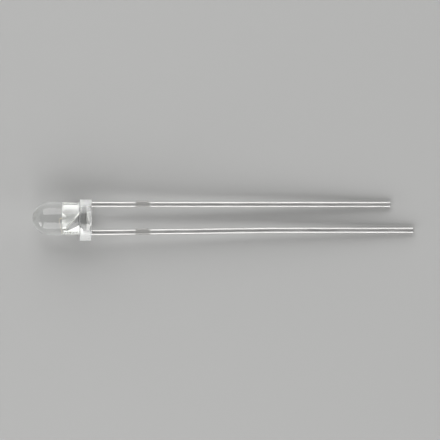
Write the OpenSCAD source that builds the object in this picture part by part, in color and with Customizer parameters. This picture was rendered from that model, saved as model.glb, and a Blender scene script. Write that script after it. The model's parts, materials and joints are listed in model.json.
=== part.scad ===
// Clear 3 mm through-hole LED, lying as it comes to rest on a table.
// Every piece is drawn upright first: the seating plane is at z = 0, the dome points
// to +z, the leads to -z, the cathode is on +x and the lead frame lies in the x-z plane.
// The module lying() then lays the part down on its flange and its two lead tips.
// All sizes are in millimetres.

/* [Lens body] */
// Diameter of the moulded barrel and of its dome
lens_d = 3.0; // [2.8:0.05:3.2]
// Height of the body from the seating plane to the tip of the dome
body_h = 5.3; // [4.6:0.1:6.0]
// Diameter of the flange
flange_d = 4.0; // [3.8:0.05:4.3]
// Thickness of the flange
flange_t = 1.08; // [1.0:0.02:1.3]
// Distance from the axis to the flat that marks the cathode
flange_flat = 1.68; // [1.64:0.01:1.9]
// Rounding of the flange's outer edges
flange_edge_r = 0.08; // [0.03:0.01:0.15]
// Fillet between the barrel and the flange
shoulder_r = 0.1; // [0.04:0.01:0.2]
// Depth of the hollow that the shrinking resin leaves in the underside
dish_depth = 0.5; // [0.3:0.02:0.56]
// Distance from the leads out to the edge of that hollow
dish_margin = 0.08; // [0.05:0.01:0.15]
// How far the resin creeps sideways from each lead inside the hollow
creep_w = 0.14; // [0.06:0.01:0.2]

/* [Leads] */
// Distance between the two lead centres at the seating plane
lead_pitch = 2.54; // [2.4:0.02:2.6]
// Width of a lead in the plane of the frame
lead_w = 0.5; // [0.44:0.01:0.54]
// Thickness of the sheet that the frame is stamped from
lead_t = 0.5; // [0.44:0.01:0.54]
// Rounding that the dipped plating gives the long edges of a lead
lead_edge_r = 0.15; // [0.08:0.01:0.2]
// Length of the anode lead, the longer one, from the seating plane
anode_len = 29.2; // [25:0.1:32]
// Length of the cathode lead, the shorter one, from the seating plane
cathode_len = 27.1; // [23:0.1:29]

/* [Bend of the anode lead] */
// Angle by which the anode lead leans towards the cathode lead, in degrees
lean_angle = 0.75; // [0.2:0.05:1.5]
// Distance below the seating plane at which it starts to lean
lean_start = 0.6; // [0.3:0.1:2]
// Length of the straight leaning stretch
lean_len = 14.5; // [10:0.5:18]
// Radius of the two gentle bends at the ends of that stretch
lean_bend_r = 60; // [30:5:100]

/* [Cut stubs of the tie bar] */
// Distance from the seating plane to the start of a stub
stub_start = 3.9; // [3:0.1:6]
// Length of a stub along the lead
stub_len = 1.45; // [1:0.05:2]
// Length of its narrower far end, where the cut ran out
stub_tail = 0.2; // [0.1:0.02:0.3]
// How far a stub stands out of the lead on the cathode's side
stub_out = 0.07; // [0.04:0.01:0.12]
// How far the cut bites into the lead on the other side
stub_bite = 0.03; // [0.01:0.01:0.05]
// Length over which the lead's rounded edges run out at the end nearest the body
stub_run = 0.16; // [0.08:0.01:0.3]
// Width of the flat at the very start of that run-out
stub_tip_w = 0.18; // [0.1:0.01:0.3]
// Width of the bevel on the stub's cut edges
stub_edge_w = 0.08; // [0.04:0.01:0.12]

/* [Anvil and post] */
// Height of the anvil's top edge above the seating plane
anvil_h = 2.66; // [2.5:0.02:2.9]
// Height of the post's top edge above the seating plane
post_h = 2.64; // [2.5:0.02:2.9]
// Half the width of the frame inside the barrel
frame_half_w = 1.12; // [1.1:0.01:1.2]
// Width of the bevel that punching leaves on the frame's edges
frame_edge_w = 0.13; // [0.06:0.01:0.14]
// Distance from the axis to the anvil's edge on the anode's side
anvil_reach = 0.68; // [0.55:0.01:0.7]
// Height at which the anvil's slanted underside meets that edge
anvil_side_h = 2.27; // [2.1:0.02:2.4]
// Height of the anvil's lowest edge, where the slant starts
anvil_under_h = 0.87; // [0.84:0.01:0.95]
// Distance from the axis to the start of the slant, on the cathode's side
anvil_slant_x = 0.4; // [0.25:0.01:0.45]
// Distance from the axis to the post's nearest corner
post_nose_x = 0.44; // [0.4:0.01:0.55]
// Height of that corner
post_nose_h = 1.15; // [1.05:0.01:1.25]
// Width of the post's top face, where the wire is bonded
post_top_w = 0.28; // [0.22:0.01:0.3]

/* [Cup] */
// Diameter of the reflector cup at its mouth
cup_d = 0.66; // [0.6:0.01:0.7]
// Diameter of the cup's flat floor
cup_floor_d = 0.42; // [0.38:0.01:0.46]
// Depth of the cup
cup_depth = 0.24; // [0.2:0.01:0.28]
// Metal left around the cup's mouth
cup_wall = 0.09; // [0.06:0.01:0.12]
// Height of the bulge that the punched cup raises on both faces of the sheet
cup_bulge_h = 0.42; // [0.36:0.01:0.5]

/* [Chip, adhesive and wire] */
// Side of the square light-emitting chip
chip_w = 0.25; // [0.2:0.01:0.27]
// Height of the chip
chip_h = 0.2; // [0.15:0.01:0.24]
// Side of the chip's raised top, after its edges are etched back
chip_top_w = 0.22; // [0.16:0.01:0.24]
// Height of that raised top
chip_top_h = 0.03; // [0.02:0.005:0.06]
// Thickness of the conductive adhesive under the chip
glue_t = 0.015; // [0.01:0.005:0.03]
// Height that the adhesive climbs up the chip's sides
glue_climb = 0.05; // [0.02:0.01:0.08]
// Width of the adhesive's fillet beyond the chip's corners
glue_margin = 0.015; // [0.005:0.005:0.02]
// Diameter of the bond wire
wire_d = 0.025; // [0.02:0.001:0.03]
// Diameter of the loop, which the bonding heat left softer and thicker
loop_d = 0.028; // [0.026:0.001:0.034]
// Diameter of the upright neck just above the ball
neck_d = 0.032; // [0.03:0.001:0.04]
// Diameter of the ball bonded to the chip
ball_d = 0.085; // [0.07:0.005:0.1]
// Height of the squeezed ball
ball_h = 0.03; // [0.02:0.005:0.04]
// Radius of the wire's loop over the chip
loop_r = 0.12; // [0.08:0.01:0.16]
// Angle at which the wire comes down to the post, in degrees
wire_fall = 18; // [16:1:24]
// Length of the flattened bond on the post
stitch_len = 0.1; // [0.08:0.01:0.14]
// Width of the flattened bond
stitch_w = 0.06; // [0.05:0.005:0.08]
// Thickness of the flattened bond
stitch_t = 0.014; // [0.01:0.002:0.02]

/* [Hidden] */
$fn = 64;
far = 50;

lens_r = lens_d / 2;
flange_r = flange_d / 2;
lead_x = lead_pitch / 2;
lead_out = lead_x + lead_w / 2;
lead_in = lead_x - lead_w / 2;

// The hollow under the body is a shallow spherical dish just wider than the leads.
dish_r = norm([lead_out, lead_t / 2]) + dish_margin;
dish_ball_r = (dish_r * dish_r + dish_depth * dish_depth) / (2 * dish_depth);

// The frame grows out of each lead inside the flange: it is lead wide up to neck_low_h
// and has its full width from neck_high_h, a little below the flange's shoulder.
neck_low_h = 0.45;
neck_high_h = 0.85;
frame_foot_h = 0.3;
neck_in_x = 0.8;
post_neck_x = 0.62;
post_taper = 0.02;
neck_lap = 0.006;
bevel_share = 0.32;
turn_low = [lead_out, neck_low_h];
turn_high = [frame_half_w, neck_high_h];

// A bent stretch of lead is a few micrometres fuller than the straight ones, which run on into it.
bend_swell = 0.003;
bend_lap = 0.02;

// Chip and wire heights, stacked from the cup's floor.
cup_floor_h = anvil_h - cup_depth;
chip_base_h = cup_floor_h + glue_t;
chip_top = chip_base_h + chip_h;
stitch_x = frame_half_w - post_top_w / 2;
fall_len = (stitch_x - loop_r * (1 + sin(wire_fall))) / cos(wire_fall);
wire_bend_h = post_h + wire_d / 2 + fall_len * sin(wire_fall) - loop_r * cos(wire_fall);

// The anode lead's tip lies this much nearer the axis than its root.
lean_shift = lean_len * sin(lean_angle) + 2 * lean_bend_r * (1 - cos(lean_angle));
bend_drop = lean_bend_r * sin(lean_angle);
bend_shift = lean_bend_r * (1 - cos(lean_angle));
lean_drop = lean_len * cos(lean_angle) + 2 * bend_drop;
anode_tip_x = lead_x - lean_shift;

// Rest pose: the flange's rim and both lead tips touch the table. The roll lowers the
// shorter lead, and one round of correction for its cosine is exact to a micrometre.
len_step = anode_len - cathode_len;
tip_span = lead_x + anode_tip_x;
tip_low_x = anode_tip_x - lead_w / 2 + lead_edge_r;
function rest_slope(cos_roll, sec_pitch) =
    (flange_r - flange_edge_r + flange_edge_r * sec_pitch
        - (lead_t / 2 - lead_edge_r) * cos_roll - lead_edge_r)
    / (anode_len + flange_edge_r - tip_low_x * len_step / tip_span);
first_slope = rest_slope(1, 1);
first_roll = asin(len_step * first_slope / tip_span);
slope = rest_slope(cos(first_roll), 1 / cos(atan(first_slope)));
rest_pitch = atan(slope);
rest_roll = asin(len_step * slope / tip_span);
rest_h = (flange_r - flange_edge_r) * cos(rest_pitch) + flange_edge_r * (1 - sin(rest_pitch));
rest_x = (body_h - anode_len) / 2 * cos(rest_pitch);

// Lays an upright piece down: dome to -x, leads to +x, cathode to +y, table at z = 0.
module lying() {
    translate([rest_x, 0, rest_h])
        rotate([0, rest_pitch, 0])
            rotate([-rest_roll, 0, 0])
                rotate([0, -90, 0])
                    rotate([0, 0, 90])
                        children();
}

// Section of a plated lead: a rectangle with its four corners rounded.
module lead_section(swell = 0) {
    flat_w = lead_w - 2 * lead_edge_r;
    flat_t = lead_t - 2 * lead_edge_r;
    union() {
        square([flat_w, lead_t + 2 * swell], center = true);
        square([lead_w + 2 * swell, flat_t], center = true);
        for (sx = [-1, 1], sy = [-1, 1])
            translate([sx * flat_w / 2, sy * flat_t / 2])
                circle(r = lead_edge_r + swell, $fn = 32);
    }
}

// Straight stretch of lead from the origin down.
module lead_straight(len) {
    translate([0, 0, -len])
        linear_extrude(height = len)
            lead_section();
}

// Bent stretch of lead from the origin down, turning towards +x by lean_angle.
module lead_bend() {
    translate([lean_bend_r, 0, 0])
        rotate([-90, 0, 180])
            rotate_extrude(angle = lean_angle)
                translate([lean_bend_r, 0])
                    lead_section(bend_swell);
}

// Everything on the metal's side of one cut edge of the sheet. The edge runs along x and the
// metal is above it. Two flats break the corner between the edge and each face of the sheet.
module edge_slab(edge_w) {
    face = lead_t / 2;
    mid_w = edge_w * bevel_share;
    rotate([90, 0, 90])
        linear_extrude(height = far, center = true)
            polygon([
                [-face, far],
                [-face, edge_w],
                [mid_w - face, mid_w],
                [edge_w - face, 0],
                [face - edge_w, 0],
                [face - mid_w, mid_w],
                [face, edge_w],
                [face, far]
            ]);
}

// Convex plate of sheet metal with bevelled edges, standing in the x-z plane. Its corners are
// given in turn, with the metal on the left of each side.
module plate(corners, edge_w = frame_edge_w) {
    count = len(corners);
    intersection_for (i = [0 : count - 1]) {
        side = corners[(i + 1) % count] - corners[i];
        translate([corners[i][0], 0, corners[i][1]])
            rotate([0, -atan2(side[1], side[0]), 0])
                edge_slab(edge_w);
    }
}

// Points of the line through p and q at the place x or at the height h.
function at_x(p, q, x) = p + (q - p) * (x - p[0]) / (q[0] - p[0]);
function at_height(p, q, h) = p + (q - p) * (h - p[1]) / (q[1] - p[1]);

// Flat stub that is left where the tie bar was cut off, from the origin down.
module stub() {
    low = -lead_w / 2 + stub_bite;
    high = lead_w / 2 + stub_out;
    tail_h = stub_tail - stub_len;
    plate([
        [low, tail_h],
        [high, tail_h],
        [high, -stub_run],
        [stub_tip_w / 2, 0],
        [-stub_tip_w / 2, 0],
        [low, -stub_run]
    ], stub_edge_w);
    plate([
        [low, -stub_len],
        [-low, -stub_len],
        [-low, tail_h + 2 * stub_edge_w],
        [low, tail_h + 2 * stub_edge_w]
    ], stub_edge_w);
}

// Straight lead that the shear bit into on both sides of a stub, with the stub in between.
module stubbed_lead(stub_z, len) {
    core = lead_w / 2 - stub_bite - stub_edge_w;
    difference() {
        lead_straight(len);
        translate([-core - lead_w, -lead_t, stub_z - stub_len])
            cube([lead_w, 2 * lead_t, stub_len - stub_run]);
        translate([core, -lead_t, stub_z - stub_len])
            cube([lead_w, 2 * lead_t, stub_tail]);
    }
    translate([0, 0, stub_z])
        stub();
}

// Root of the frame on +x, where it grows out of a lead and turns in under the barrel.
module frame_root() {
    plate([
        [lead_in, frame_foot_h - 2 * frame_edge_w],
        [lead_out, frame_foot_h - 2 * frame_edge_w],
        turn_low,
        at_x(turn_low, turn_high, lead_in)
    ]);
}

// Cathode side of the frame: the wide anvil that carries the cup, its neck and its root.
module anvil() {
    neck_top = anvil_under_h + 2 * frame_edge_w;
    neck_low = [lead_in, neck_low_h];
    neck_high = [neck_in_x, anvil_under_h];
    plate([
        [anvil_slant_x, anvil_under_h],
        [frame_half_w, anvil_under_h],
        [frame_half_w, anvil_h],
        [-anvil_reach, anvil_h],
        [-anvil_reach, anvil_side_h]
    ]);
    plate([
        at_x(neck_low, neck_high, frame_half_w),
        [frame_half_w, neck_top],
        at_height(neck_low, neck_high, neck_top)
    ]);
    plate([
        at_height(neck_low, neck_high, frame_foot_h),
        [lead_out, frame_foot_h],
        turn_low,
        at_height(turn_low, turn_high, neck_top),
        at_height(neck_low, neck_high, neck_top)
    ]);
    frame_root();
}

// Anode side of the frame: the narrow post that takes the wire, its wedge-shaped foot, its
// neck and its root. It is drawn on +x and mirrored.
module post() {
    post_in = frame_half_w - post_top_w;
    top = [post_in, post_h];
    waist = [post_in - post_taper, anvil_side_h];
    nose = [post_nose_x, post_nose_h];
    neck_low = [lead_in, neck_low_h];
    neck_high = [post_neck_x, neck_high_h];
    mirror([1, 0, 0]) {
        plate([
            at_height(top, waist, post_nose_h),
            [frame_half_w, post_nose_h],
            [frame_half_w, post_h],
            top
        ]);
        plate([
            at_x(neck_low, neck_high, frame_half_w),
            [frame_half_w, post_h],
            at_height(nose, waist, post_h),
            nose,
            neck_high
        ]);
        plate([
            at_height(neck_low, neck_high, frame_foot_h),
            [lead_out, frame_foot_h],
            turn_low,
            at_height(turn_low, turn_high, post_nose_h),
            nose,
            neck_high
        ]);
        frame_root();
    }
}

// Bulge that the punch raises around the cup.
module cup_bulge() {
    translate([0, 0, anvil_h - cup_bulge_h])
        cylinder(h = cup_bulge_h, r1 = lead_t / 2, r2 = cup_d / 2 + cup_wall);
}

// Conical hollow of the cup, open to the dome.
module cup_hollow() {
    rim_over = 0.02;
    wall_run = (cup_d - cup_floor_d) / 2 / cup_depth;
    translate([0, 0, cup_floor_h])
        cylinder(
            h = cup_depth + rim_over,
            r1 = cup_floor_d / 2,
            r2 = cup_d / 2 + wall_run * rim_over
        );
}

module cathode_frame() {
    color("lightgray")
        union() {
            difference() {
                union() {
                    anvil();
                    cup_bulge();
                }
                cup_hollow();
            }
            translate([lead_x, 0, frame_foot_h])
                stubbed_lead(-frame_foot_h - stub_start, frame_foot_h + cathode_len);
        }
}

module anode_frame() {
    root = frame_foot_h + lean_start;
    stub_z = lean_start + bend_drop - bend_lap - stub_start;
    color("lightgray")
        union() {
            post();
            translate([-lead_x, 0, frame_foot_h]) {
                lead_straight(root + bend_lap);
                translate([0, 0, -root]) {
                    lead_bend();
                    translate([bend_shift, 0, -bend_drop])
                        rotate([0, -lean_angle, 0]) {
                            translate([0, 0, bend_lap])
                                stubbed_lead(stub_z, lean_len + 2 * bend_lap);
                            translate([0, 0, -lean_len])
                                mirror([1, 0, 0])
                                    lead_bend();
                        }
                    translate([lean_shift, 0, bend_lap - lean_drop])
                        lead_straight(anode_len - lean_start - lean_drop + bend_lap);
                }
            }
        }
}

module led_chip() {
    color("dimgray")
        translate([0, 0, chip_base_h])
            union() {
                translate([-chip_w / 2, -chip_w / 2, 0])
                    cube([chip_w, chip_w, chip_h - chip_top_h]);
                translate([-chip_top_w / 2, -chip_top_w / 2, 0])
                    cube([chip_top_w, chip_top_w, chip_h]);
            }
}

module chip_adhesive() {
    foot_r = norm([chip_w, chip_w]) / 2 + glue_margin;
    color("silver")
        difference() {
            translate([0, 0, cup_floor_h])
                cylinder(h = glue_t + glue_climb, r1 = foot_r, r2 = chip_w / 2 + glue_margin);
            led_chip();
        }
}

// Ball on the chip, upright neck, loop, straight run down and flattened bond on the post.
module bond_wire() {
    color("gold")
        union() {
            translate([0, 0, chip_top])
                cylinder(h = ball_h, r1 = ball_d / 2, r2 = ball_d / 2 - ball_h / 3);
            translate([0, 0, chip_top + ball_h / 2])
                cylinder(h = wire_bend_h - chip_top - ball_h / 2 + neck_lap, d = neck_d);
            translate([-loop_r, 0, wire_bend_h])
                rotate([90, 0, 0])
                    rotate_extrude(angle = 90 + wire_fall)
                        translate([loop_r, 0])
                            circle(d = loop_d);
            translate([-loop_r, 0, wire_bend_h])
                rotate([0, -90 - wire_fall, 0])
                    translate([loop_r, 0, -neck_lap])
                        cylinder(h = fall_len + neck_lap, d = wire_d);
            translate([-stitch_x - stitch_len / 2, -stitch_w / 2, post_h])
                cube([stitch_len, stitch_w, stitch_t]);
        }
}

// Half outline of the moulded body, in radius and height.
module body_profile() {
    difference() {
        union() {
            square([lens_r, body_h - lens_r]);
            intersection() {
                translate([0, body_h - lens_r])
                    circle(r = lens_r, $fn = 128);
                translate([0, body_h - lens_r])
                    square([lens_r, lens_r]);
            }
            square([flange_r - flange_edge_r, flange_t]);
            translate([0, flange_edge_r])
                square([flange_r, flange_t - 2 * flange_edge_r]);
            for (h = [flange_edge_r, flange_t - flange_edge_r])
                translate([flange_r - flange_edge_r, h])
                    circle(r = flange_edge_r, $fn = 32);
            difference() {
                translate([lens_r, flange_t])
                    square(shoulder_r);
                translate([lens_r + shoulder_r, flange_t + shoulder_r])
                    circle(r = shoulder_r, $fn = 32);
            }
        }
        translate([0, dish_depth - dish_ball_r])
            circle(r = dish_ball_r, $fn = 256);
    }
}

// Resin that creeps along a lead inside the hollow under the body.
module creep(x) {
    low = dish_depth / 10;
    translate([x, 0, low])
        cylinder(h = dish_depth - low, r1 = lead_w / 2 + creep_w / 3, r2 = lead_w / 2 + creep_w);
}

module lens_body() {
    color("white", 0.4)
        difference() {
            union() {
                rotate_extrude($fn = 128) body_profile();
                creep(lead_x);
                creep(-lead_x);
            }
            translate([flange_flat, -far / 2, -far / 2])
                cube(far);
            cathode_frame();
            anode_frame();
            led_chip();
            chip_adhesive();
            bond_wire();
        }
}

lying() lens_body();
lying() cathode_frame();
lying() anode_frame();
lying() led_chip();
lying() chip_adhesive();
lying() bond_wire();
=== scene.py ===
# Clear 3 mm LED with two tinned leads, lying on a pale surface and seen from straight above.
import json
import math

import bpy
from mathutils import Matrix, Vector


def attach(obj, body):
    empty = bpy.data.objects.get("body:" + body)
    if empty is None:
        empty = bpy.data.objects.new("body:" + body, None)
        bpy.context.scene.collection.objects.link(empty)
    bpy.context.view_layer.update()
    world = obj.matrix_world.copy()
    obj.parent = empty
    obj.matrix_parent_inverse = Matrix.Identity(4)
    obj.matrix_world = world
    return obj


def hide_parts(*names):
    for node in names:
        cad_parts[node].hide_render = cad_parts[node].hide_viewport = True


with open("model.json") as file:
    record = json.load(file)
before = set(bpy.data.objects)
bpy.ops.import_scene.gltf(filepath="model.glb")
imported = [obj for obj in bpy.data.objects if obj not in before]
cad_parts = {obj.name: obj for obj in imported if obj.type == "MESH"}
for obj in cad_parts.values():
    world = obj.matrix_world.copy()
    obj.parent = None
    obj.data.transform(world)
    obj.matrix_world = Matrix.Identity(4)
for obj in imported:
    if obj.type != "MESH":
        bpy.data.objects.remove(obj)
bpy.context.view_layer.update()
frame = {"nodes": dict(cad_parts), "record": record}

MM = 0.001

# Sizes of the moulded body, in millimetres, as the frame has them
LENS_R = 1.5
BODY_H = 5.3
FLANGE_R = 2.0
FLANGE_T = 1.08
FLAT_X = 1.68
EDGE_R = 0.08
FLAT_CORNER_R = 0.06
SHOULDER_R = 0.1
DISH_DEPTH = 0.5
DISH_R = 1.62
LEAD_X = 1.27
LEAD_HALF = 0.25
LEAD_EDGE_R = 0.15

# The most that a rounding takes of the rim's width, past the hollow and past the barrel
EDGE_SHARE = 0.6
SHOULDER_SHARE = 0.8

# Cast finish: how flat the hollow's floor is, and how the resin creeps down the leads
DISH_POWER = 3
CREEP_RISE = 0.13
CREEP_REACH = 0.07

# Where finishes change along the part, in millimetres past the seating plane towards the leads' tips
CUP_FROM = (-2.2, -2.3)
RIM_FINISH = (-1.2, -1.1)
DIPPED_FROM = (-0.9, -0.5)
STUB_MIDDLE = 4.62

# Reach of the stubs' finish along the part and of the cup's to each side, fully and at most, in
# millimetres from their middles
STUB_REACH = (0.55, 0.75)
CUP_REACH = (0.38, 0.44)

# Steps of the body's outline and of the skin round it, and the largest bend, in degrees, that is
# shaded smooth
CORNER_STEPS = 6
SHOULDER_STEPS = 8
WALL_STEPS = 6
DOME_STEPS = 48
SPOKES = 240
DISH_RINGS = 54
SMOOTH_ANGLE = 35

# Resin: two colours and two roughnesses that noise drifts between, and the duller skin of the rim,
# which turns matte where it faces sideways by more than the first slope and fully by the second
RESIN_COLOURS = ((0.975, 0.98, 0.975, 1), (0.955, 0.965, 0.955, 1))
RESIN_POLISH = (0.012, 0.03)
RESIN_IOR = 1.53
SKIN_IOR = 1.65
SKIN_ROUGHNESS = 0.45
MATTE_SLOPE = (0.45, 0.68)
MATTE_ROUGHNESS = 0.55
MATTE_CLEARNESS = 0.68

# Plated steel: colours and roughnesses
SILVER = (0.92, 0.925, 0.9, 1)
TIN = (0.54, 0.535, 0.525, 1)
CUT_TIN = (0.36, 0.355, 0.345, 1)
SATIN = (0.4, 0.54)
BURNISHED = 0.25
SHEARED = 0.75
DIPPED = (0.36, 0.5)
CUT = (0.56, 0.66)

# How far a face turns up or down where sheared steel gives way to burnished, and that to a flat face
ROLLED_SLOPE = (0.3, 0.4)
FLAT_SLOPE = (0.92, 0.97)

# Rounding of the steel's edges inside and outside the resin, in millimetres, and its samples
SOFT_EDGE = (0.05, 0.14)
SOFT_SAMPLES = 6

# Drag marks in the tin: their depth in millimetres and how strongly they show
DRAG_DEPTH = 0.01
DRAG_STRENGTH = 0.3

# Noise: the range that most of its values lie in, the scales along X, Y and Z in 1/m and the detail
# of each grain, and the detail of the small pieces' grain
NOISE_RANGE = (0.3, 0.7)
RESIN_GRAIN = (900, 900, 900), 2
SATIN_GRAIN = (7000, 900, 3000), 2
DRAG_GRAIN = (500, 9000, 9000), 3
FINE_DETAIL = 3

# Small pieces: how metallic, scale of the grain in 1/m, two colours and two roughnesses
DIE = 0.3, 30000, ((0.1, 0.095, 0.08, 1), (0.2, 0.18, 0.13, 1)), (0.22, 0.34)
ADHESIVE = 0.6, 40000, ((0.5, 0.5, 0.48, 1), (0.72, 0.72, 0.7, 1)), (0.42, 0.6)
WIRE = 1, 20000, ((0.9, 0.8, 0.6, 1), (0.96, 0.9, 0.76, 1)), (0.24, 0.34)

# Mix node: the two inputs and the output that it uses for numbers and for colours
MIX_SOCKETS = {"FLOAT": (2, 3, 0), "RGBA": (6, 7, 2)}

# Picture: the photograph's frame in pixels, where the body sits in it, and its scale
PICTURE_PX = 440
SEAT_PX = 91.8
AXIS_PX = 218.55
MM_PER_PX = 0.0906

# Camera: its height above the level at which the scale holds, that level, its sensor, and the
# nearest and farthest that it sees, in metres
CAMERA_HEIGHT_MM = 350
LEVEL_MM = 1
SENSOR_MM = 36
CLIP = (0.01, 10)

# Lamps stand this far from the part, in metres. Each has its azimuth from +Y and the two angles from
# overhead between which the part sees it, in degrees, its length and sideways shift in metres, and
# its radiance
PANEL_AWAY = 0.3
PANELS = {
    "upper_panel": (0, 28, 75, 0.3, -0.09, 3.3),
    "lower_panel": (180, 28, 75, 0.3, 0.09, 3.3),
    "upper_strip": (0, 79, 88, 0.3, 0.16, 5),
    "lower_strip": (180, 79, 88, 0.3, -0.16, 5),
    "upper_tail": (319, 46, 80, 0.15, 0, 2),
    "lower_tail": (221, 46, 80, 0.15, 0, 2.6),
    "nose_panel": (120, 68, 86, 0.12, 0, 4.5),
}

# Surroundings: their strength, the backdrop's, and the sines of the elevations over which it fades
WORLD_LEVEL = 0.08
BACKDROP_LEVEL = 1
BACKDROP_TOP = (0.25, 0.4)

# Floor: half its side in metres, its colour and its gloss
FLOOR_HALF = 0.4
FLOOR_COLOUR = (0.4, 0.4, 0.395, 1)
FLOOR_ROUGHNESS = 0.45
FLOOR_SPECULAR = 0.35


def mount(name):
    """The record's mount of that name."""
    return next(m for m in frame["record"]["mounts"] if m["name"] == name)


def part_matrix():
    """From the upright part, in millimetres with its seating plane at z = 0, to the row frame."""
    barrel = mount("lens_barrel")
    up = Vector(barrel["axis"]).normalized()
    across = Vector(mount("cathode_lead")["pos_m"]) - Vector(mount("anode_lead")["pos_m"])
    across = (across - up * across.dot(up)).normalized()
    beside = up.cross(across)
    middle = BODY_H - LENS_R - barrel["dims"]["length_mm"] / 2
    origin = Vector(barrel["pos_m"]) - up * middle * MM
    turn = Matrix((across, beside, up)).transposed().to_4x4()
    return Matrix.Translation(origin) @ turn @ Matrix.Scale(MM, 4)


PART = part_matrix()
SEAT = PART @ Vector((0, 0, 0))


def new_mesh(name, points, faces, material):
    """A mesh piece from points of the upright part, in millimetres, placed in the row frame."""
    mesh = bpy.data.meshes.new(name)
    mesh.from_pydata([PART @ Vector(p) for p in points], [], faces)
    mesh.update()
    mesh.shade_smooth()
    mesh.set_sharp_from_angle(angle=math.radians(SMOOTH_ANGLE))
    mesh.materials.append(material)
    piece = bpy.data.objects.new(name, mesh)
    bpy.context.scene.collection.objects.link(piece)
    return piece


def arc(centre, radius, start, end, steps):
    """Points of an arc in (radius, height), angles in degrees."""
    turn = [math.radians(start + (end - start) * i / steps) for i in range(steps + 1)]
    return [(centre[0] + radius * math.cos(a), centre[1] + radius * math.sin(a)) for a in turn]


def rim_radius(angle):
    """Radius of the flange at an angle from the flat's middle, with the flat's corners rounded."""
    # Where the flat's line isn't met, it counts as lying this far out, well past the rim
    farthest = 2 * FLANGE_R
    flat = FLAT_X / max(math.cos(angle), FLAT_X / farthest)
    gap = (FLANGE_R - flat) / FLAT_CORNER_R
    return FLANGE_R - FLAT_CORNER_R * math.log1p(math.exp(gap))


def creep(x, y):
    """How far the resin has crept down the nearer lead at a point of the underside."""
    flat = LEAD_HALF - LEAD_EDGE_R
    dx = max(abs(abs(x) - LEAD_X) - flat, 0)
    dy = max(abs(y) - flat, 0)
    away = max(math.hypot(dx, dy) - LEAD_EDGE_R, 0)
    return CREEP_RISE * math.exp(-away / CREEP_REACH)


def dish_height(x, y):
    """Height of the hollow's surface above the seating plane."""
    return DISH_DEPTH * (1 - (math.hypot(x, y) / DISH_R) ** DISH_POWER) - creep(x, y)


def lens_profile(angle):
    """Outline of the body from the hollow's edge over the flange and barrel to the dome's tip."""
    rim = rim_radius(angle)
    edge = min(EDGE_R, (rim - DISH_R) * EDGE_SHARE)
    points = arc((rim - edge, edge), edge, -90, 0, CORNER_STEPS)
    points += arc((rim - edge, FLANGE_T - edge), edge, 0, 90, CORNER_STEPS)
    shoulder = min(SHOULDER_R, (rim - edge - LENS_R) * SHOULDER_SHARE)
    points += arc((LENS_R + shoulder, FLANGE_T + shoulder), shoulder, 270, 180, SHOULDER_STEPS)
    low, high = FLANGE_T + SHOULDER_R, BODY_H - LENS_R
    points += [(LENS_R, low + (high - low) * i / WALL_STEPS) for i in range(1, WALL_STEPS)]
    points += arc((0, high), LENS_R, 0, 90, DOME_STEPS)[:-1]
    return points


def lens_column(angle):
    """Points of the skin at an angle, from beside the hollow's middle to beside the dome's tip."""
    column = []
    for ring in range(1, DISH_RINGS + 1):
        radius = DISH_R * ring / DISH_RINGS
        x, y = radius * math.cos(angle), radius * math.sin(angle)
        column.append((x, y, dish_height(x, y)))
    for radius, height in lens_profile(angle):
        column.append((radius * math.cos(angle), radius * math.sin(angle), height))
    return column


def make_lens(material):
    """The moulded body as one closed skin: its outside, its hollow underside and the crept resin."""
    points = [(0, 0, dish_height(0, 0))]
    columns = []
    for spoke in range(SPOKES):
        column = lens_column(2 * math.pi * spoke / SPOKES)
        columns.append(range(len(points), len(points) + len(column)))
        points += column
    tip = len(points)
    points.append((0, 0, BODY_H))
    faces = []
    for spoke in range(SPOKES):
        here, there = columns[spoke], columns[(spoke + 1) % SPOKES]
        faces.append((0, there[0], here[0]))
        faces += [(here[i], there[i], there[i + 1], here[i + 1]) for i in range(len(here) - 1)]
        faces.append((here[-1], there[-1], tip))
    return new_mesh("lens_body_clear", points, faces, material)


def new_material(name, **values):
    """A material with its Principled shader's sockets set by name."""
    material = bpy.data.materials.new(name)
    material.use_nodes = True
    shader = material.node_tree.nodes["Principled BSDF"]
    for key, value in values.items():
        shader.inputs[key.replace("_", " ")].default_value = value
    return material


def feed(tree, value, socket):
    """Feeds a socket from another one, or writes a plain value into it."""
    if isinstance(value, bpy.types.NodeSocket):
        tree.links.new(value, socket)
    else:
        socket.default_value = value


def coordinates(tree):
    """The object's own coordinates, in metres."""
    return tree.nodes.new("ShaderNodeTexCoord").outputs["Object"]


def component(tree, vector, axis):
    """One component of a vector."""
    split = tree.nodes.new("ShaderNodeSeparateXYZ")
    feed(tree, vector, split.inputs["Vector"])
    return split.outputs[axis]


def math_node(tree, operation, *values):
    """A number worked out from one or two others."""
    node = tree.nodes.new("ShaderNodeMath")
    node.operation = operation
    for value, socket in zip(values, node.inputs):
        feed(tree, value, socket)
    return node.outputs[0]


def slope(tree, axis):
    """How much a face turns towards an axis, 0 to 1, either way."""
    true_normal = tree.nodes.new("ShaderNodeNewGeometry").outputs["True Normal"]
    return math_node(tree, "ABSOLUTE", component(tree, true_normal, axis))


def noise(tree, scale, detail):
    """A noise texture over stretched coordinates; returns its factor."""
    stretch = tree.nodes.new("ShaderNodeMapping")
    stretch.inputs["Scale"].default_value = scale
    grain = tree.nodes.new("ShaderNodeTexNoise")
    grain.inputs["Scale"].default_value = 1
    grain.inputs["Detail"].default_value = detail
    feed(tree, coordinates(tree), stretch.inputs["Vector"])
    feed(tree, stretch.outputs["Vector"], grain.inputs["Vector"])
    return grain.outputs["Fac"]


def ramp(tree, value, low, high, start, end):
    """Maps a value from low..high to start..end, held at the ends."""
    node = tree.nodes.new("ShaderNodeMapRange")
    node.inputs["From Min"].default_value = low
    node.inputs["From Max"].default_value = high
    node.inputs["To Min"].default_value = start
    node.inputs["To Max"].default_value = end
    feed(tree, value, node.inputs["Value"])
    return node.outputs["Result"]


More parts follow.
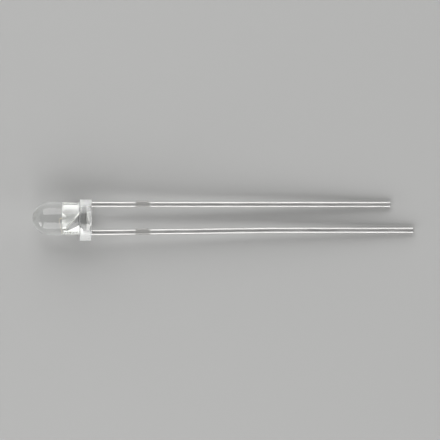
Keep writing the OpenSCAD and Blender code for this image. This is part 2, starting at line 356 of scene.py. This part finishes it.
def drift(tree, grain, low, high):
    """Spreads a noise over low..high."""
    return ramp(tree, grain, *NOISE_RANGE, low, high)


def mix(tree, kind, factor, first, second):
    """Blends two values of a kind by a factor."""
    node = tree.nodes.new("ShaderNodeMix")
    node.data_type = kind
    one, other, result = MIX_SOCKETS[kind]
    feed(tree, factor, node.inputs[0])
    feed(tree, first, node.inputs[one])
    feed(tree, second, node.inputs[other])
    return node.outputs[result]


def blend(tree, factor, first, second):
    """Blends two numbers by a factor."""
    return mix(tree, "FLOAT", factor, first, second)


def tint(tree, factor, first, second):
    """Blends two colours by a factor."""
    return mix(tree, "RGBA", factor, first, second)


def along(tree, start, end):
    """0 to 1 over a stretch along the part, given in millimetres past the seating plane."""
    place = component(tree, coordinates(tree), "X")
    return ramp(tree, place, SEAT.x + start * MM, SEAT.x + end * MM, 0, 1)


def within(tree, distance, near, far):
    """1 up to near and 0 past far, in millimetres, for a distance in metres to either side."""
    return ramp(tree, math_node(tree, "ABSOLUTE", distance), near * MM, far * MM, 1, 0)


def at_stubs(tree):
    """1 on the stubs where the tie bars were cut, 0 elsewhere."""
    place = component(tree, coordinates(tree), "X")
    away = math_node(tree, "SUBTRACT", place, SEAT.x + STUB_MIDDLE * MM)
    return within(tree, away, *STUB_REACH)


def at_cup(tree):
    """1 on the coined wall of the cup, 0 elsewhere."""
    beside = within(tree, component(tree, coordinates(tree), "Y"), *CUP_REACH)
    return math_node(tree, "MULTIPLY", along(tree, *CUP_FROM), beside)


def clear_epoxy():
    """Water-clear cast resin, with a duller skin on the rim that is matte towards its two sides."""
    material = new_material(
        "clear_epoxy",
        IOR=RESIN_IOR,
        Coat_IOR=SKIN_IOR,
        Coat_Roughness=SKIN_ROUGHNESS,
    )
    tree = material.node_tree
    shader = tree.nodes["Principled BSDF"]
    rim = along(tree, *RIM_FINISH)
    matte = math_node(tree, "MULTIPLY", rim, ramp(tree, slope(tree, "Y"), *MATTE_SLOPE, 0, 1))
    grain = noise(tree, *RESIN_GRAIN)
    feed(tree, rim, shader.inputs["Coat Weight"])
    feed(tree, tint(tree, drift(tree, grain, 0, 1), *RESIN_COLOURS), shader.inputs["Base Color"])
    roughness = blend(tree, matte, drift(tree, grain, *RESIN_POLISH), MATTE_ROUGHNESS)
    feed(tree, roughness, shader.inputs["Roughness"])
    feed(tree, ramp(tree, matte, 0, 1, 1, MATTE_CLEARNESS), shader.inputs["Transmission Weight"])
    return material


def inner_roughness(tree):
    """Satin silver on flat faces, burnished where punching rolled the edges, coarse where it sheared."""
    lift = slope(tree, "Z")
    satin = drift(tree, noise(tree, *SATIN_GRAIN), *SATIN)
    edge = ramp(tree, lift, *ROLLED_SLOPE, SHEARED, BURNISHED)
    flat = ramp(tree, lift, *FLAT_SLOPE, 0, 1)
    return blend(tree, math_node(tree, "MAXIMUM", flat, at_cup(tree)), edge, satin)


def outer_roughness(tree, drag):
    """Dipped tin with drag marks, dull at the stubs where the tie bars were cut."""
    return blend(tree, at_stubs(tree), drift(tree, drag, *DIPPED), drift(tree, drag, *CUT))


def soft_edges(tree, outside):
    """A normal that rounds the steel's edges, less inside the resin than outside it."""
    inner, outer = SOFT_EDGE
    soft = tree.nodes.new("ShaderNodeBevel")
    soft.samples = SOFT_SAMPLES
    feed(tree, ramp(tree, outside, 0, 1, inner * MM, outer * MM), soft.inputs["Radius"])
    return soft.outputs["Normal"]


def drag_marks(tree, drag, normal):
    """A normal with the fine relief of the drag marks added to it."""
    bump = tree.nodes.new("ShaderNodeBump")
    bump.inputs["Strength"].default_value = DRAG_STRENGTH
    bump.inputs["Distance"].default_value = DRAG_DEPTH * MM
    feed(tree, drag, bump.inputs["Height"])
    feed(tree, normal, bump.inputs["Normal"])
    return bump.outputs["Normal"]


def plated_steel():
    """Lead frame: silver plating inside the resin, dipped tin outside, every edge a little rounded."""
    material = new_material("plated_steel", Metallic=1)
    tree = material.node_tree
    shader = tree.nodes["Principled BSDF"]
    outside = along(tree, *DIPPED_FROM)
    drag = noise(tree, *DRAG_GRAIN)
    roughness = blend(tree, outside, inner_roughness(tree), outer_roughness(tree, drag))
    feed(tree, roughness, shader.inputs["Roughness"])
    colour = tint(tree, at_stubs(tree), tint(tree, outside, SILVER, TIN), CUT_TIN)
    feed(tree, colour, shader.inputs["Base Color"])
    feed(tree, drag_marks(tree, drag, soft_edges(tree, outside)), shader.inputs["Normal"])
    return material


def grained(name, metallic, scale, colours, roughness):
    """A fine-grained material whose colour and roughness drift between two values."""
    material = new_material(name, Metallic=metallic)
    tree = material.node_tree
    shader = tree.nodes["Principled BSDF"]
    grain = noise(tree, (scale, scale, scale), FINE_DETAIL)
    feed(tree, tint(tree, drift(tree, grain, 0, 1), *colours), shader.inputs["Base Color"])
    feed(tree, drift(tree, grain, *roughness), shader.inputs["Roughness"])
    return material


def set_material(node, material):
    """Gives a CAD node a material in every slot."""
    for place in frame["nodes"][node].material_slots:
        place.material = material


def make_floor():
    """Plain pale surface that the part lies on."""
    half = FLOOR_HALF
    mesh = bpy.data.meshes.new("floor")
    corners = [(-half, -half, 0), (half, -half, 0), (half, half, 0), (-half, half, 0)]
    mesh.from_pydata(corners, [], [(0, 1, 2, 3)])
    surface = new_material(
        "floor",
        Base_Color=FLOOR_COLOUR,
        Roughness=FLOOR_ROUGHNESS,
        Specular_IOR_Level=FLOOR_SPECULAR,
    )
    mesh.materials.append(surface)
    floor = bpy.data.objects.new("floor", mesh)
    bpy.context.scene.collection.objects.link(floor)


def make_panel(name, azimuth, inner, outer, length, shift, radiance):
    """A soft panel towards an azimuth, seen from the part between two angles from straight overhead."""
    middle = math.radians((inner + outer) / 2)
    depth = 2 * PANEL_AWAY * math.tan(math.radians((outer - inner) / 2))
    lamp = bpy.data.lights.new(name, "AREA")
    lamp.shape = "RECTANGLE"
    lamp.size, lamp.size_y = length, depth
    lamp.energy = radiance * math.pi * length * depth
    holder = bpy.data.objects.new(name, lamp)
    turn = Matrix.Rotation(math.radians(azimuth), 4, "Z") @ Matrix.Rotation(-middle, 4, "X")
    holder.matrix_world = turn @ Matrix.Translation((shift, 0, PANEL_AWAY))
    holder.visible_camera = False
    bpy.context.scene.collection.objects.link(holder)


def make_world():
    """Dim surroundings, with a pale backdrop near the horizon for all but diffuse rays."""
    world = bpy.data.worlds.new("studio")
    world.use_nodes = True
    tree = world.node_tree
    height = component(tree, tree.nodes.new("ShaderNodeTexCoord").outputs["Generated"], "Z")
    backdrop = ramp(tree, height, *BACKDROP_TOP, BACKDROP_LEVEL, WORLD_LEVEL)
    diffuse_ray = tree.nodes.new("ShaderNodeLightPath").outputs["Is Diffuse Ray"]
    background = tree.nodes["Background"]
    background.inputs["Color"].default_value = (1, 1, 1, 1)
    feed(tree, blend(tree, diffuse_ray, backdrop, WORLD_LEVEL), background.inputs["Strength"])
    bpy.context.scene.world = world


def make_camera():
    """Long lens looking straight down, with the body where the photograph has it."""
    centre = PICTURE_PX / 2
    camera = bpy.data.cameras.new("camera")
    camera.sensor_width = SENSOR_MM
    camera.lens = SENSOR_MM * CAMERA_HEIGHT_MM / (PICTURE_PX * MM_PER_PX)
    camera.clip_start, camera.clip_end = CLIP
    holder = bpy.data.objects.new("camera", camera)
    holder.location = (
        SEAT.x + (centre - SEAT_PX) * MM_PER_PX * MM,
        SEAT.y - (centre - AXIS_PX) * MM_PER_PX * MM,
        (CAMERA_HEIGHT_MM + LEVEL_MM) * MM,
    )
    bpy.context.scene.collection.objects.link(holder)
    bpy.context.scene.camera = holder


lens = make_lens(clear_epoxy())
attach(lens, "root")
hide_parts("lens_body")

plating = plated_steel()
set_material("cathode_frame", plating)
set_material("anode_frame", plating)
set_material("led_chip", grained("semiconductor", *DIE))
set_material("chip_adhesive", grained("silver_adhesive", *ADHESIVE))
set_material("bond_wire", grained("gold", *WIRE))

make_floor()
make_world()
for panel, values in PANELS.items():
    make_panel(panel, *values)
make_camera()

bpy.context.scene.view_settings.view_transform = "Standard"
